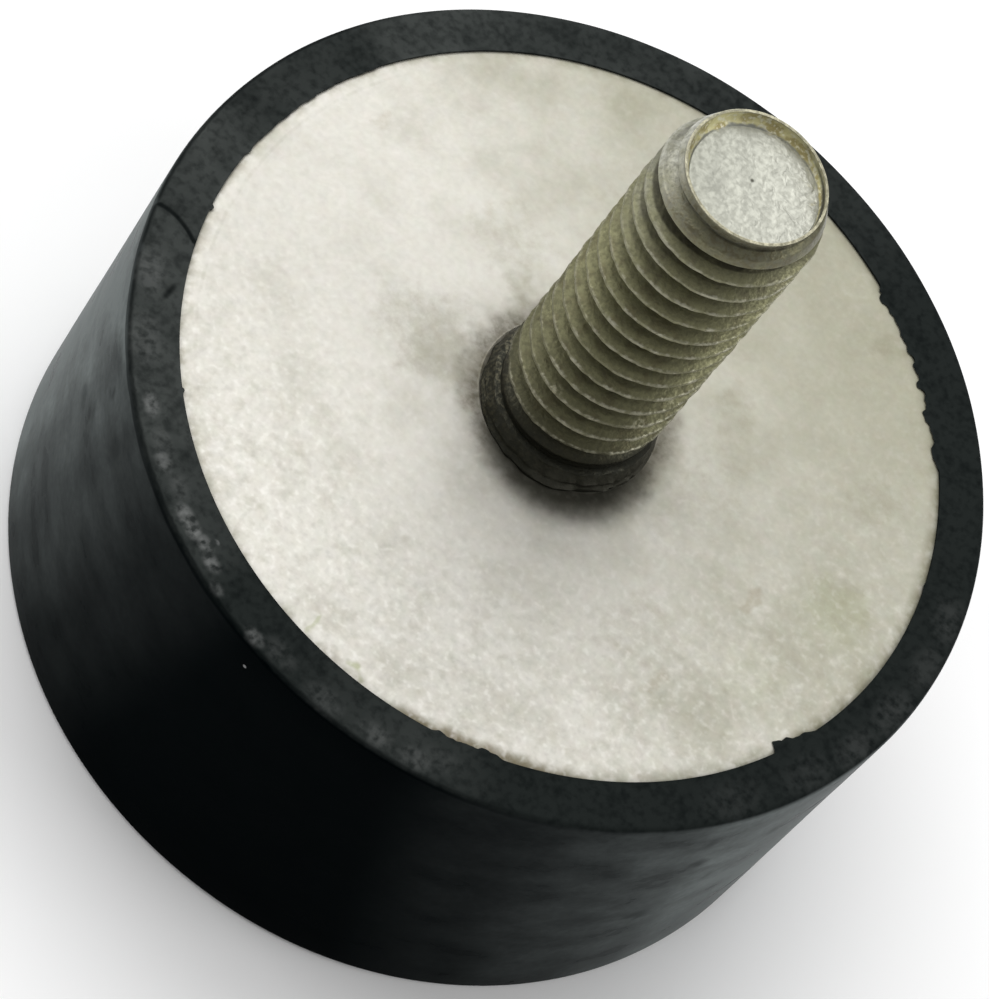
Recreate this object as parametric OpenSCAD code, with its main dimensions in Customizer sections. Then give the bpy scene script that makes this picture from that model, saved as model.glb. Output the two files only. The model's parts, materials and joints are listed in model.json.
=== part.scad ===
// Bonded rubber engine mount: a round rubber block moulded onto two steel end plates.
// A threaded stud stands out of the top plate and a blind threaded bush opens in the base plate.
// Every piece is a body of revolution about Z. The mount stands on Z = 0 with the stud pointing up.

/* [Rubber block] */
// Outside diameter of the rubber block
body_d = 50; // [44:0.5:80]
// Height of the block between its two end faces
body_h = 23; // [21:0.5:60]
// Width of the rubber rim round each end plate
rim_w = 2.85; // [1.5:0.05:6]
// Rounding of the block's outer edges
edge_r = 0.4; // [0.2:0.1:1.2]

/* [End plates] */
// Thickness of each steel end plate
plate_t = 2.5; // [1.5:0.1:4]
// Width of the rolled-over edge that blanking leaves on a plate's outer face
roll_w = 0.9; // [0.5:0.1:1.5]
// Depth of that rolled-over edge at the plate's rim
roll_h = 0.15; // [0.1:0.05:0.5]
// Width of the countersink round the stud
sink_w = 0.3; // [0.2:0.1:2]
// Depth of the countersink round the stud
sink_h = 0.2; // [0.1:0.1:1]

/* [Stud] */
// Major diameter of the stud's 3/8-16 thread
stud_d = 9.525; // [7.5:0.025:13]
// Length of the stud above the top plate
stud_l = 25.4; // [12:0.2:44]
// Height of the plain shoulder that the seat leaves above the top plate
shoulder_l = 1.2; // [0.8:0.1:3]
// Length of the tapered lead at the stud's end
lead_l = 1.5; // [0.6:0.1:3]
// Depth of the tapered lead, taken off the stud's radius
lead_w = 0.85; // [0.4:0.05:1.4]
// Width of the lip round the cupped end that thread rolling leaves
lip_w = 0.15; // [0.1:0.05:0.4]
// Depth of the cupped end
cup_h = 0.8; // [0.2:0.1:1.5]
// Taper of the cup's wall, taken off its radius
cup_w = 0.25; // [0.1:0.05:0.8]
// Oversize of the seat pressed into the top plate, on the radius
seat_w = 0.25; // [0.1:0.05:0.6]
// Overhang of the flat head under the top plate, on the radius
head_w = 3.5; // [2:0.1:6]
// Thickness of the flat head under the top plate
head_t = 3; // [1.5:0.1:4]

/* [Threaded bush] */
// Bore of the tapped hole, the minor diameter of its 3/8-16 thread
tap_d = 8; // [6.6:0.1:11]
// Depth of the tapped hole
tap_l = 9.5; // [7:0.5:10.5]
// Width of the countersink at the hole's mouth
mouth_w = 0.9; // [0.4:0.1:1.2]
// Wall of the collar that is swaged into the base plate
collar_w = 2; // [1.4:0.1:3]
// Wall of the bush inside the rubber
bush_w = 3.6; // [3.1:0.1:5]
// Thickness of the bush's closed end
bush_end = 1.6; // [1:0.1:2.5]

/* [Hidden] */
$fn = 128;

body_r = body_d / 2;
plate_r = body_r - rim_w;
top_seat_z = body_h - plate_t;
stud_r = stud_d / 2;
seat_r = stud_r + seat_w;
head_r = stud_r + head_w;
lead_r = stud_r - lead_w;
stud_end_z = body_h + stud_l;
tap_r = tap_d / 2;
collar_r = tap_r + collar_w;
bush_r = tap_r + bush_w;
bush_top_z = tap_l + bush_end;
// A cut runs this far past the face it opens through
past = 1;

// Section left outside a corner of radius r whose arc starts at the origin's two axes
module corner_waste(r) {
    difference() {
        square(r + past);
        circle(r);
    }
}

// Half section of a blanked disc, its rolled-over edge on the upper face
module disc_section(hole_r) {
    // The rolled edge is an arc that leaves the face without a step
    roll_arc_r = (pow(roll_w, 2) + pow(roll_h, 2)) / (2 * roll_h);
    difference() {
        translate([hole_r, 0]) square([plate_r - hole_r, plate_t]);
        translate([plate_r - roll_w, plate_t - roll_arc_r]) corner_waste(roll_arc_r);
    }
}

module rubber_body() {
    color("#1d1e1f") rotate_extrude() difference() {
        square([body_r, body_h]);
        // Rounded outer edges
        translate([body_r - edge_r, body_h - edge_r]) corner_waste(edge_r);
        translate([body_r - edge_r, edge_r]) mirror([0, 1]) corner_waste(edge_r);
        // Pockets of the two plates
        translate([0, top_seat_z]) square([plate_r, plate_t + past]);
        translate([0, -past]) square([plate_r, plate_t + past]);
        // Pockets of the stud's head and the bush
        translate([0, top_seat_z - head_t]) square([head_r, head_t + past]);
        square([bush_r, bush_top_z]);
    }
}

module top_plate() {
    color("#cdcbc2") translate([0, 0, top_seat_z]) rotate_extrude() difference() {
        disc_section(seat_r);
        // Countersink round the stud
        polygon([
            [seat_r - past, plate_t - sink_h],
            [seat_r, plate_t - sink_h],
            [seat_r + sink_w, plate_t],
            [seat_r + sink_w, plate_t + past],
            [seat_r - past, plate_t + past],
        ]);
    }
}

module stud() {
    color("#97958a") rotate_extrude() polygon([
        [0, top_seat_z - head_t],
        [head_r, top_seat_z - head_t],
        [head_r, top_seat_z],
        [seat_r, top_seat_z],
        [seat_r, body_h + shoulder_l - seat_w],
        [stud_r, body_h + shoulder_l],
        [stud_r, stud_end_z - lead_l],
        [lead_r, stud_end_z],
        [lead_r - lip_w, stud_end_z],
        [lead_r - lip_w - cup_w, stud_end_z - cup_h],
        [0, stud_end_z - cup_h],
    ]);
}

module base_plate() {
    color("#cdcbc2") mirror([0, 0, 1]) translate([0, 0, -plate_t])
        rotate_extrude() disc_section(collar_r);
}

module threaded_bush() {
    color("#97958a") rotate_extrude() polygon([
        [tap_r + mouth_w, 0],
        [collar_r, 0],
        [collar_r, plate_t],
        [bush_r, plate_t],
        [bush_r, bush_top_z],
        [0, bush_top_z],
        [0, tap_l],
        [tap_r, tap_l],
        [tap_r, mouth_w],
    ]);
}

rubber_body();
top_plate();
stud();
base_plate();
threaded_bush();
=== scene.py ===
import json
import math

import bmesh
import bpy
from mathutils import Matrix, Quaternion, Vector, noise


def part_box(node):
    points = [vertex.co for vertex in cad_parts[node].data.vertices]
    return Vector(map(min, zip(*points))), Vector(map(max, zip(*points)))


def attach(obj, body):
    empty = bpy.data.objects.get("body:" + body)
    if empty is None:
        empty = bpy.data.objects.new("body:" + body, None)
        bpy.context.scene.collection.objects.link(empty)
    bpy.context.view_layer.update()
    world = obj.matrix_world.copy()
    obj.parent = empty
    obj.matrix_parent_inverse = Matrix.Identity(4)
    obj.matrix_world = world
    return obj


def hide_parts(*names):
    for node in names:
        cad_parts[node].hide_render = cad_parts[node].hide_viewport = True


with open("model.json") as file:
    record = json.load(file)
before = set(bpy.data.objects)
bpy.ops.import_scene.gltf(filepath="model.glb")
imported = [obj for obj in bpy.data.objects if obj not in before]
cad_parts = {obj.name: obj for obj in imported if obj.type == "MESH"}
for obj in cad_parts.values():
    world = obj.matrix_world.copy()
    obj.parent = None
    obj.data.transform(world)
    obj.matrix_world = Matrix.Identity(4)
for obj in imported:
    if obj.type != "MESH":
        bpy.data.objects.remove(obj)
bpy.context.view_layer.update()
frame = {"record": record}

mm = 0.001
fullTurn = 2 * math.pi

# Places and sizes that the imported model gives
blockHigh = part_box("rubber_body")[1]
plateLow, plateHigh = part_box("top_plate")
baseLow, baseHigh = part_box("base_plate")
studLow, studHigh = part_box("stud")
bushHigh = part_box("threaded_bush")[1]
mounts = {mount["name"]: mount for mount in frame["record"]["mounts"]}
blockRadius = blockHigh.y
topZ = blockHigh.z
plateRadius = plateHigh.y
plateThick = plateHigh.z - plateLow.z
tipZ = studHigh.z
headRadius = studHigh.y
bushRadius = bushHigh.y
bushTop = bushHigh.z
crestRadius = mounts["stud"]["dims"]["r_mm"] * mm
tapRadius = mounts["base_thread"]["dims"]["r_mm"] * mm
print("frame loaded, block radius %.2f mm, stud crest %.3f mm" % (blockRadius / mm, crestRadius / mm))


# Mesh helpers

def addOutline(bm, points, rounding=0.0, segments=4):
    # points are (radius, height, cuts, rounded); the cuts divide the stretch that follows the point
    verts = [bm.verts.new((radius, 0, height)) for radius, height, cuts, rounded in points]
    for pair in zip(verts, verts[1:]):
        bm.edges.new(pair)
    corners = [vert for vert, point in zip(verts, points) if point[3]]
    if corners:
        bmesh.ops.bevel(bm, geom=corners, offset=rounding, segments=segments, profile=0.5,
                        affect="VERTICES", material=-1)
    for start, end in zip(points, points[1:]):
        if start[2]:
            bmesh.ops.subdivide_edges(bm, edges=[longestBetween(bm, start, end)], cuts=start[2])


def longestBetween(bm, start, end):
    # the longest edge on the straight line between two outline points
    first, last = Vector((start[0], 0, start[1])), Vector((end[0], 0, end[1]))
    along = (last - first).normalized()
    onLine = [edge for edge in bm.edges
              if all((vert.co - first).cross(along).length < 1e-7 for vert in edge.verts)]
    return max(onLine, key=lambda edge: edge.calc_length())


def spinOutline(bm, steps, sectors=12):
    # one sector is spun and its copies are turned into place, which is quick
    bmesh.ops.spin(bm, geom=bm.verts[:] + bm.edges[:], cent=(0, 0, 0), axis=(0, 0, 1),
                   angle=fullTurn / sectors, steps=steps // sectors)
    sector = bm.verts[:] + bm.edges[:] + bm.faces[:]
    for k in range(1, sectors):
        copied = bmesh.ops.duplicate(bm, geom=sector)["geom"]
        bmesh.ops.rotate(bm, cent=(0, 0, 0), matrix=Matrix.Rotation(k * fullTurn / sectors, 3, "Z"),
                         verts=[item for item in copied if isinstance(item, bmesh.types.BMVert)])
    bmesh.ops.remove_doubles(bm, verts=bm.verts, dist=0.0005 * mm)


def setRadius(vert, radius):
    flat = Vector((vert.co.x, vert.co.y, 0))
    if flat.length > 1e-9:
        flat *= radius / flat.length
    vert.co.x, vert.co.y = flat.x, flat.y


def polar(vert):
    return math.hypot(vert.co.x, vert.co.y), math.atan2(vert.co.y, vert.co.x) % fullTurn


def smoothStep(low, high, value):
    t = min(1.0, max(0.0, (value - low) / (high - low)))
    return t * t * (3 - 2 * t)


def rough(point, size, seed):
    # seeded noise from -1 to 1 with features of about that size
    return noise.noise(point / size + Vector((seed * 7.3, seed * 3.1, seed * 5.7)))


def openRim(bm, height):
    return [edge for edge in bm.edges if edge.is_boundary
            and all(abs(vert.co.z - height) < 0.01 * mm for vert in edge.verts)]


def stepRim(bm, rim, radius, height):
    # draws an open round rim out to a new radius and height
    grown = bmesh.ops.extrude_edge_only(bm, edges=rim)["geom"]
    for vert in [item for item in grown if isinstance(item, bmesh.types.BMVert)]:
        setRadius(vert, radius)
        vert.co.z = height
    return [item for item in grown if isinstance(item, bmesh.types.BMEdge) and item.is_boundary]


def finishPiece(bm, name, material, node):
    bmesh.ops.remove_doubles(bm, verts=bm.verts, dist=0.0005 * mm)
    bmesh.ops.recalc_face_normals(bm, faces=bm.faces)
    for face in bm.faces:
        face.smooth = True
    mesh = bpy.data.meshes.new(name)
    bm.to_mesh(mesh)
    bm.free()
    mesh.set_sharp_from_angle(angle=math.radians(38))
    mesh.materials.append(material)
    piece = bpy.data.objects.new(name, mesh)
    bpy.context.scene.collection.objects.link(piece)
    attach(piece, "root")
    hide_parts(node)
    print("%s made, %d faces" % (name, len(mesh.polygons)))


# Material helpers

def addNode(tree, kind, props=None, inputs=None):
    node = tree.nodes.new(kind)
    for key, value in (props or {}).items():
        setattr(node, key, value)
    for key, value in (inputs or {}).items():
        if isinstance(value, bpy.types.NodeSocket):
            tree.links.new(value, node.inputs[key])
        else:
            node.inputs[key].default_value = value
    return node


def calc(tree, operation, *values):
    return addNode(tree, "ShaderNodeMath", {"operation": operation}, dict(enumerate(values))).outputs[0]


def times(tree, first, *others):
    # the product of several masks
    product = first
    for mask in others:
        product = calc(tree, "MULTIPLY", product, mask)
    return product


def mapRange(tree, value, low, high, toLow=0.0, toHigh=1.0, kind="SMOOTHSTEP"):
    return addNode(tree, "ShaderNodeMapRange", {"interpolation_type": kind},
                   {0: value, 1: low, 2: high, 3: toLow, 4: toHigh}).outputs[0]


def mixColor(tree, factor, a, b, blend="MIX"):
    return addNode(tree, "ShaderNodeMix", {"data_type": "RGBA", "blend_type": blend},
                   {0: factor, 6: a, 7: b}).outputs[2]


def noiseMask(tree, vector, size, detail=2.0, distortion=0.0):
    return addNode(tree, "ShaderNodeTexNoise", None, {
        "Vector": vector, "Scale": 1 / size, "Detail": detail, "Distortion": distortion}).outputs["Fac"]


def stretched(tree, vector, scale, turn=(0, 0, 0)):
    return addNode(tree, "ShaderNodeMapping", None,
                   {"Vector": vector, "Scale": scale, "Rotation": turn}).outputs[0]


def objectCoords(tree):
    return addNode(tree, "ShaderNodeTexCoord").outputs["Object"]


def axisRadius(tree, vector):
    flat = addNode(tree, "ShaderNodeVectorMath", {"operation": "MULTIPLY"},
                   {0: vector, 1: (1, 1, 0)}).outputs[0]
    return addNode(tree, "ShaderNodeVectorMath", {"operation": "LENGTH"}, {0: flat}).outputs["Value"]


def spotMask(tree, vector, spots):
    # spots are (x, y, z, radius, strength) in millimetres; the strongest one wins
    total = None
    for x, y, z, radius, strength in spots:
        away = distanceFrom(tree, vector, x, y, z)
        spot = mapRange(tree, away, radius * mm, 0.25 * radius * mm, 0.0, strength)
        total = spot if total is None else calc(tree, "MAXIMUM", total, spot)
    return total


def distanceFrom(tree, vector, x, y, z):
    return addNode(tree, "ShaderNodeVectorMath", {"operation": "DISTANCE"},
                   {0: vector, 1: (x * mm, y * mm, z * mm)}).outputs["Value"]


def slopeAlong(tree, vector, direction):
    return addNode(tree, "ShaderNodeVectorMath", {"operation": "DOT_PRODUCT"},
                   {0: vector, 1: direction}).outputs["Value"]


def rampOver(tree, value, stops):
    # a smooth curve through (place from 0 to 1, amount) stops
    node = addNode(tree, "ShaderNodeValToRGB", None, {0: value})
    ramp = node.color_ramp
    ramp.interpolation = "EASE"
    for spare in range(len(stops) - len(ramp.elements)):
        ramp.elements.new(0.5)
    for element, (place, amount) in zip(ramp.elements, stops):
        element.position = place
        element.color = (amount, amount, amount, 1)
    return node.outputs["Color"]


def newGroup(name, inputs, outputs):
    tree = bpy.data.node_groups.new(name, "ShaderNodeTree")
    for label, kind, value in inputs:
        socket = tree.interface.new_socket(name=label, in_out="INPUT", socket_type=kind)
        if value is not None:
            socket.default_value = value
    for label, kind in outputs:
        tree.interface.new_socket(name=label, in_out="OUTPUT", socket_type=kind)
    return tree, tree.nodes.new("NodeGroupInput"), tree.nodes.new("NodeGroupOutput")


def useGroup(tree, group, inputs):
    return addNode(tree, "ShaderNodeGroup", {"node_tree": group}, inputs)


def newMaterial(name):
    material = bpy.data.materials.new(name)
    material.use_nodes = True
    tree = material.node_tree
    return material, tree, tree.nodes["Principled BSDF"]


def setShader(tree, shader, linked, fixed):
    for key, socket in linked.items():
        tree.links.new(socket, shader.inputs[key])
    for key, value in fixed.items():
        shader.inputs[key].default_value = value


def makeGrainGroup():
    # crystal grain of zinc plating: height for bump, a soft mottle, sparse bright flecks that are painted
    # glints, and a faint tint
    tree, given, put = newGroup("zincGrain", [
        ("Vector", "NodeSocketVector", None), ("Size", "NodeSocketFloat", 0.3 * mm)],
        [("Height", "NodeSocketFloat"), ("Mottle", "NodeSocketFloat"), ("GlintFleck", "NodeSocketFloat"),
         ("Tint", "NodeSocketColor")])
    perSize = calc(tree, "DIVIDE", 1.0, given.outputs["Size"])
    fine = addNode(tree, "ShaderNodeTexNoise", None, {
        "Vector": given.outputs["Vector"], "Scale": perSize, "Detail": 2.0, "Roughness": 0.55}).outputs["Fac"]
    cells = addNode(tree, "ShaderNodeTexVoronoi", None, {"Vector": given.outputs["Vector"], "Scale": perSize})
    cellValue = addNode(tree, "ShaderNodeSeparateColor", None, {0: cells.outputs["Color"]}).outputs[0]
    core = mapRange(tree, cells.outputs["Distance"], 0.55, 0.1)
    tint = addNode(tree, "ShaderNodeTexNoise", None, {
        "Vector": given.outputs["Vector"], "Scale": calc(tree, "MULTIPLY", perSize, 0.4), "Detail": 2.0})
    tree.links.new(calc(tree, "MULTIPLY_ADD", cellValue, 0.3, fine), put.inputs["Height"])
    tree.links.new(fine, put.inputs["Mottle"])
    tree.links.new(calc(tree, "MULTIPLY", mapRange(tree, cellValue, 0.85, 0.95), core), put.inputs["GlintFleck"])
    tree.links.new(tint.outputs["Color"], put.inputs["Tint"])
    return tree


def makeGrimeGroup():
    # patchy dirt: a broken mask that grows from a soft one
    tree, given, put = newGroup("grimePatch", [
        ("Vector", "NodeSocketVector", None), ("Soft Mask", "NodeSocketFloat", 0.0),
        ("Size", "NodeSocketFloat", 0.8 * mm)], [("Mask", "NodeSocketFloat")])
    perSize = calc(tree, "DIVIDE", 1.0, given.outputs["Size"])
    patch = addNode(tree, "ShaderNodeTexNoise", None, {
        "Vector": given.outputs["Vector"], "Scale": perSize, "Detail": 4.0, "Roughness": 0.65}).outputs["Fac"]
    lifted = calc(tree, "ADD", calc(tree, "SUBTRACT", patch, 0.5), given.outputs["Soft Mask"])
    broken = mapRange(tree, lifted, 0.1, 0.95)
    tree.links.new(calc(tree, "MULTIPLY", broken, mapRange(tree, given.outputs["Soft Mask"], 0.0, 0.25)),
                   put.inputs["Mask"])
    return tree


grainGroup = makeGrainGroup()
grimeGroup = makeGrimeGroup()

# In the three looks, places, radii and reaches are in millimetres
rubberLook = {
    "black": (0.0004, 0.0013, 0.0016, 1), "rimGrey": (0.0138, 0.0168, 0.016, 1),
    # the dusty rim colour and the wall dust colour also paint sheen
    "rimDustSheen": (0.05, 0.055, 0.0525, 1), "wallDustSheen": (0.132, 0.148, 0.146, 1),
    "scuff": (0.145, 0.15, 0.147, 1), "speck": (0.5, 0.5, 0.5, 1),
    # dust and painted sheen on the rim: degrees round from +Y through -X, amount
    "rimDustSheenRamp": [(0, 0.35), (24, 0.42), (38, 0.45), (50, 0.75), (60, 0.72), (68, 0.3), (84, 0.4),
                (94, 0.75), (104, 0.7), (114, 0.8), (124, 0.72), (136, 0.85), (145, 0.5), (156, 0.35),
                (163, 0.02), (172, 0.02), (182, 0.22), (191, 0.35), (198, 0.22), (206, 0.0), (330, 0.03),
                (348, 0.2), (360, 0.35)],
    # dust and painted sheen on the wall: degrees away from -Y, amount; it starts further round near the base
    "wallSheenRamp": [(10, 0.0), (25, 0.06), (40, 0.23), (50, 0.48), (58, 0.83), (68, 1.0),
                 (82, 0.95), (100, 0.38), (125, 0.15), (180, 0.11)],
    "wallShift": 430,  # degrees for each metre below the top
    # scuffs on the rim: angle in degrees, radius, reach, strength
    "rimScuffs": [
        (225.3, 23.95, 1.0, 0.62), (230.5, 23.8, 1.2, 0.16), (233.3, 24.05, 1.0, 0.46),
        (237.2, 23.7, 1.2, 0.16), (240.8, 24.0, 1.0, 0.72), (242.7, 23.95, 1.0, 0.8),
        (245.2, 23.75, 0.9, 0.6), (247.7, 23.95, 0.9, 0.62), (251.0, 24.5, 0.7, 0.3),
        (258.5, 24.45, 0.9, 0.45), (262.0, 24.0, 1.5, 0.12), (270.0, 24.2, 1.6, 0.15),
        (277.4, 24.1, 1.4, 0.22), (283.4, 24.1, 1.5, 0.2), (286.4, 23.5, 1.6, 0.1),
        (245.6, 23.05, 0.25, 0.8), (206.0, 24.1, 1.9, 0.2), (216.0, 24.0, 2.2, 0.18),
        (12.0, 24.1, 2.2, 0.1), (4.0, 24.2, 2.2, 0.08), (355.0, 24.2, 2.4, 0.1),
        (347.0, 24.3, 2.2, 0.1), (339.0, 24.0, 2.4, 0.06), (327.0, 23.8, 2.6, 0.05)],
    "scuffSquash": 1.3,  # how much the scuffs are pressed flat across the rim
    # a crease across the rim, painted dark as shade, in degrees from -Y: where it starts and how far it bends
    "crease": (-73.8, 3.4),
    # a nick that is longer along Y, painted dark as shade: place, reach, strength
    "nick": (-20.15, -10.86, 0.3, 0.85), "nickSquash": 0.35,
    # rubbed places on the wall, where the dust and painted sheen stop: angle in degrees, height, reach,
    # strength
    "wallMarks": [(220, 20.1, 0.8, 0.55), (219, 16.4, 1.3, 0.4), (215, 15.0, 1.2, 0.4),
                  (227, 19.5, 1.0, 0.3), (319, 20.9, 0.9, 0.5), (325, 20.0, 1.2, 0.45),
                  (327, 16.7, 1.0, 0.5), (325.5, 9.4, 1.3, 0.45), (331, 13.5, 1.2, 0.4),
                  (338, 18.0, 1.0, 0.35), (313, 6.0, 1.2, 0.3)],
    "wallSpeck": (-4.34, -24.62, 21.1)}


def onRim(turn, far):
    return far * math.cos(math.radians(turn)), far * math.sin(math.radians(turn))


def makeRubber():
    look = rubberLook
    material, tree, shader = newMaterial("mouldedRubber")
    coords = objectCoords(tree)
    x, y, z = addNode(tree, "ShaderNodeSeparateXYZ", None, {0: coords}).outputs
    radius = axisRadius(tree, coords)
    angle = calc(tree, "ARCTAN2", x, calc(tree, "MULTIPLY", y, -1.0))
    onTop = mapRange(tree, z, topZ - 0.3 * mm, topZ - 0.12 * mm)
    onFace = calc(tree, "MAXIMUM", onTop, mapRange(
        tree, radius, blockRadius - 0.35 * mm, blockRadius - 0.6 * mm))
    onWall = calc(tree, "SUBTRACT", 1.0, onFace)
    fine = noiseMask(tree, coords, 0.42 * mm, 4.0)
    mottle = noiseMask(tree, coords, 1.7 * mm, 3.0)
    # the rim is greyer than the wall, with soft dust in places; how much of it lies round the rim is partly
    # painted sheen
    turnShare = calc(tree, "MULTIPLY_ADD", angle, 1 / fullTurn, 0.5)
    rimDustSheen = rampOver(tree, turnShare, [(place / 360, amount) for place, amount in look["rimDustSheenRamp"]])
    dustSheen = times(tree, rimDustSheen, mapRange(tree, mottle, 0.3, 0.7, 0.65, 1.3, "LINEAR"))
    grey = mixColor(tree, dustSheen, look["rimGrey"], look["rimDustSheen"])
    speckle = times(tree, mapRange(tree, fine, 0.28, 0.72, 0.4, 0.95, "LINEAR"),
                    mapRange(tree, mottle, 0.3, 0.7, 1.1, 1.5, "LINEAR"), onFace)
    rim = mixColor(tree, speckle, look["black"], grey)
    # dust and painted sheen on the wall, lighter towards the sides and next to none on the -Y side
    deep = calc(tree, "SUBTRACT", topZ, z)
    shifted = calc(tree, "MULTIPLY", deep, math.radians(look["wallShift"]))
    away = calc(tree, "SUBTRACT", calc(tree, "ABSOLUTE", angle), shifted)
    turned = rampOver(tree, calc(tree, "MULTIPLY", away, 1 / math.pi),
                      [(place / 180, amount) for place, amount in look["wallSheenRamp"]])
    cloudy = noiseMask(tree, stretched(tree, coords, (1, 0.6, 1.5), (0.3, 0.2, 0)), 3.4 * mm, 5.0)
    patchy = times(tree, mapRange(tree, cloudy, 0.32, 0.68, 0.6, 1.4, "LINEAR"),
                   mapRange(tree, fine, 0.25, 0.75, 0.86, 1.14, "LINEAR"))
    rightward = mapRange(tree, x, 8 * mm, 24 * mm, 1.0, 0.82)
    marks = [(*onRim(turn, blockRadius / mm), height, wide, strength)
             for turn, height, wide, strength in look["wallMarks"]]
    rubbed = times(tree, spotMask(tree, coords, marks), mapRange(tree, mottle, 0.35, 0.6))
    unmarked = calc(tree, "SUBTRACT", 1.0, rubbed)
    wallSheened = mixColor(tree, times(tree, turned, patchy, rightward, unmarked, onWall), rim, look["wallDustSheen"])
    # painted shade: the rounded edge, more on the -X -Y side, the crease and the nick are painted black
    unevenOut = calc(tree, "MULTIPLY_ADD", fine, 0.3 * mm, radius)
    unevenUp = calc(tree, "MULTIPLY_ADD", mottle, 0.3 * mm, z)
    edge = times(tree, mapRange(tree, unevenOut, blockRadius - 0.2 * mm, blockRadius - 0.02 * mm),
                 mapRange(tree, unevenUp, topZ - 0.4 * mm, topZ - 0.22 * mm))
    leftFront = mapRange(tree, slopeAlong(tree, coords, (-0.77, -0.64, 0)), 2 * mm, 14 * mm, 0.12, 0.65)
    start, bend = look["crease"]
    inward = mapRange(tree, radius, blockRadius, plateRadius, 0.0, 1.0, "LINEAR")
    bent = calc(tree, "POWER", inward, 2.5)
    creaseAt = calc(tree, "MULTIPLY_ADD", bent, math.radians(bend), math.radians(start))
    offCrease = calc(tree, "ABSOLUTE", calc(tree, "SUBTRACT", angle, creaseAt))
    crease = times(tree, mapRange(tree, offCrease, 0.012, 0.003, 0.0, 0.8), onTop)
    nickX, nickY, nickReach, nickStrength = look["nick"]
    nick = spotMask(tree, stretched(tree, coords, (1, look["nickSquash"], 1)), [
        (nickX, nickY * look["nickSquash"], topZ / mm, nickReach, nickStrength)])
    edgeCreaseShade = calc(tree, "MAXIMUM", times(tree, edge, leftFront), calc(tree, "MAXIMUM", crease, nick))
    edged = mixColor(tree, edgeCreaseShade, wallSheened, look["black"])
    # scuffs, hatched across the rim
    outward = addNode(tree, "ShaderNodeVectorMath", {"operation": "NORMALIZE"}, {
        0: addNode(tree, "ShaderNodeCombineXYZ", None, {0: x, 1: y}).outputs[0]}).outputs[0]
    hatched = addNode(tree, "ShaderNodeVectorMath", {"operation": "MULTIPLY_ADD"}, {
        0: outward, 1: (0.8 * blockRadius, 0.8 * blockRadius, 0),
        2: stretched(tree, coords, (0.2, 0.2, 0))}).outputs[0]
    hatch = noiseMask(tree, hatched, 0.7 * mm, 3.0)
    # a third coordinate that grows with the radius makes the spots longer along the rim
    along = addNode(tree, "ShaderNodeCombineXYZ", None, {
        0: x, 1: y, 2: calc(tree, "MULTIPLY", radius, look["scuffSquash"])}).outputs[0]
    scuffs = [(*onRim(turn, far), look["scuffSquash"] * far, wide, strength)
              for turn, far, wide, strength in look["rimScuffs"]]
    worn = mapRange(tree, calc(tree, "ADD", fine, hatch), 0.82, 1.18, 0.08, 1.25, "LINEAR")
    scuff = times(tree, spotMask(tree, along, scuffs), onTop, worn)
    scuffed = mixColor(tree, scuff, edged, look["scuff"])
    speck = mapRange(tree, distanceFrom(tree, coords, *look["wallSpeck"]), 0.15 * mm, 0.07 * mm, 0.0, 0.4)
    color = mixColor(tree, speck, scuffed, look["speck"])
    sheen = mapRange(tree, cloudy, 0.3, 0.7, 0.26, 0.42)
    skin = addNode(tree, "ShaderNodeBump", None, {
        "Strength": 0.25, "Distance": 0.02 * mm, "Height": fine}).outputs[0]
    setShader(tree, shader, {"Base Color": color, "Roughness": sheen, "Normal": skin},
              {"Specular IOR Level": 0.003})
    return material


plateLook = {
    "bright": (0.92, 0.91, 0.87, 1), "pale": (0.63, 0.614, 0.56, 1),
    "yellowGrey": (0.375, 0.366, 0.285, 1), "olive": (0.24, 0.228, 0.152, 1),
    # the grime colour also paints the stud's shadow round its foot
    "grimeAndShade": (0.035, 0.034, 0.024, 1), "rust": (0.27, 0.212, 0.12, 1), "green": (0.3, 0.34, 0.14, 1),
    "edgeGrime": (0.15, 0.122, 0.062, 1), "crust": (0.125, 0.108, 0.068, 1),
    "pitted": (0.3, 0.295, 0.25, 1),
    "rollWidth": 0.9, "footAt": (1.1, -1.95, 23),  # middle of the grime and of the stud's painted shadow round the stud
    # stains on the face: x, y, z, radius, strength
    "oliveSpots": [
        (-7.5, -2.2, 23, 4.2, 0.75), (-10.0, -2.0, 23, 3.2, 0.55), (-6.3, 4.0, 23, 1.6, 0.6),
        (-8.0, 6.0, 23, 4.0, 0.4), (16.6, 8.4, 23, 3.2, 0.5), (9.0, 2.0, 23, 5.0, 0.35),
        (10.5, -8.6, 23, 4.0, 0.4), (17.0, 14.0, 23, 3.5, 0.35), (11.6, 17.0, 23, 1.1, 0.7),
        (7.0, 6.5, 23, 2.5, 0.5), (-4.0, 14.0, 23, 6.0, 0.25), (18.6, 1.2, 23, 3.0, 0.45)],
    "rustSpots": [(14.4, -2.2, 23, 1.1, 0.8), (13.0, -10.4, 23, 0.9, 0.8), (-17.2, 7.2, 23, 0.7, 0.5),
                  (-4.6, -3.9, 23, 1.6, 0.5)],
    "greenSpots": [(0.2, -21.6, 23, 0.55, 0.5), (-3.0, -21.2, 23, 0.4, 0.35), (18.5, 0.6, 23, 3.0, 0.16),
                   (16.5, -6.0, 23, 2.5, 0.08)]}


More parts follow.
